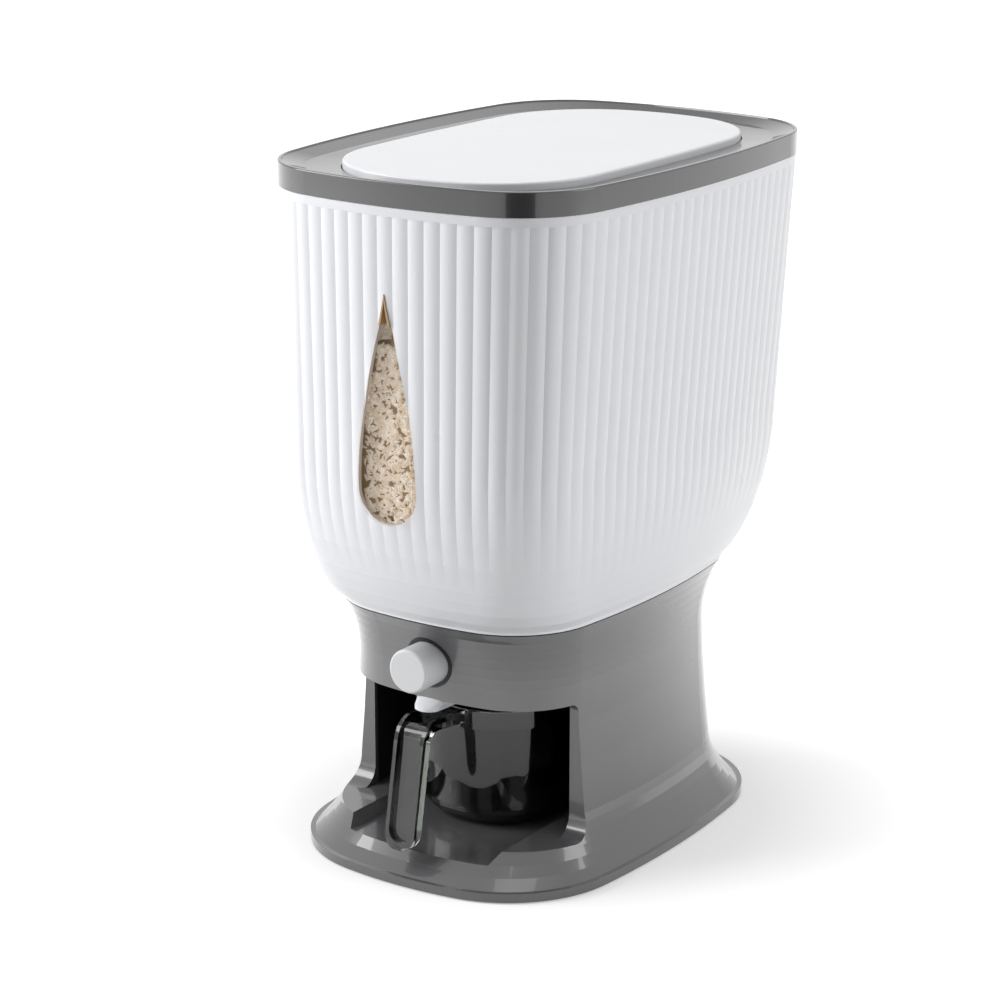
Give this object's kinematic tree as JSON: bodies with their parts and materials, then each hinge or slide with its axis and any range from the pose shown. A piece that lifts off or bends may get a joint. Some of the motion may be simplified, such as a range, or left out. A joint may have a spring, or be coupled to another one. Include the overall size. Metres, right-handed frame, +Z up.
{
  "type": "rice dispenser",
  "caption": "Tall reeded rice hopper with a drop-shaped window and hinged lid on a flared stand; a push button drops rice into a slide-out measuring cup.",
  "frame": {"origin": "on the table, at the middle of the dispenser's overall box seen from above", "axes": "+Z up, -Y towards the front with the window, button and cup, +X to the right seen from behind the front"},
  "size_m": [0.2166, 0.3099, 0.4],
  "materials": {
    "grey_shell": "polished grey ABS",
    "white_shell": "satin white ABS",
    "amber_window": "transparent amber",
    "inner_white": "moulded polypropylene",
    "black_liner": "black moulded",
    "smoky_cup": "smoky transparent",
    "dark_plate": "fine grain",
    "seal_rubber": "silicone",
    "foot_rubber": "matt",
    "spring_steel": "drawn wire",
    "screw_steel": "zinc plated"
  },
  "bodies": {
    "body": {"hopper_shell": "white_shell", "window_lens": "amber_window", "inner_funnel": "inner_white", "base_shell": "grey_shell", "outlet_spout": "white_shell", "bay_liner": "black_liner", "base_deck": "dark_plate", "bottom_plate": "dark_plate", "rubber_foot_1": "foot_rubber", "rubber_foot_2": "foot_rubber", "rubber_foot_3": "foot_rubber", "rubber_foot_4": "foot_rubber", "base_screw_1": "screw_steel", "base_screw_2": "screw_steel", "base_screw_3": "screw_steel", "base_screw_4": "screw_steel", "gate_housing": "inner_white", "button_bezel": "black_liner", "top_ring": "grey_shell", "hinge_pin": "screw_steel"},
    "lid": {"lid_cover": "white_shell", "lid_liner": "inner_white", "lid_seal": "seal_rubber"},
    "gate": {"gate_plate": "inner_white", "push_stem": "inner_white", "button_cap": "white_shell", "return_spring": "spring_steel"},
    "cup": {"measuring_cup": "smoky_cup"}
  },
  "joints": [
    {"name": "lid_hinge", "type": "hinge", "parent": "body", "child": "lid", "pos_m": [0, 0.1326, 0.3959], "axis": [-1, 0, 0], "range_deg": [0, 90]},
    {"name": "button_push", "type": "slide", "parent": "body", "child": "gate", "axis": [0, 1, 0], "range_m": [0, 0.014], "stiffness_N_per_m": 250, "springref_m": -0.006, "deforming": ["return_spring"]},
    {"name": "cup_slide", "type": "slide", "parent": "body", "child": "cup", "axis": [0, -1, 0], "range_m": [0, 0.17]}
  ]
}
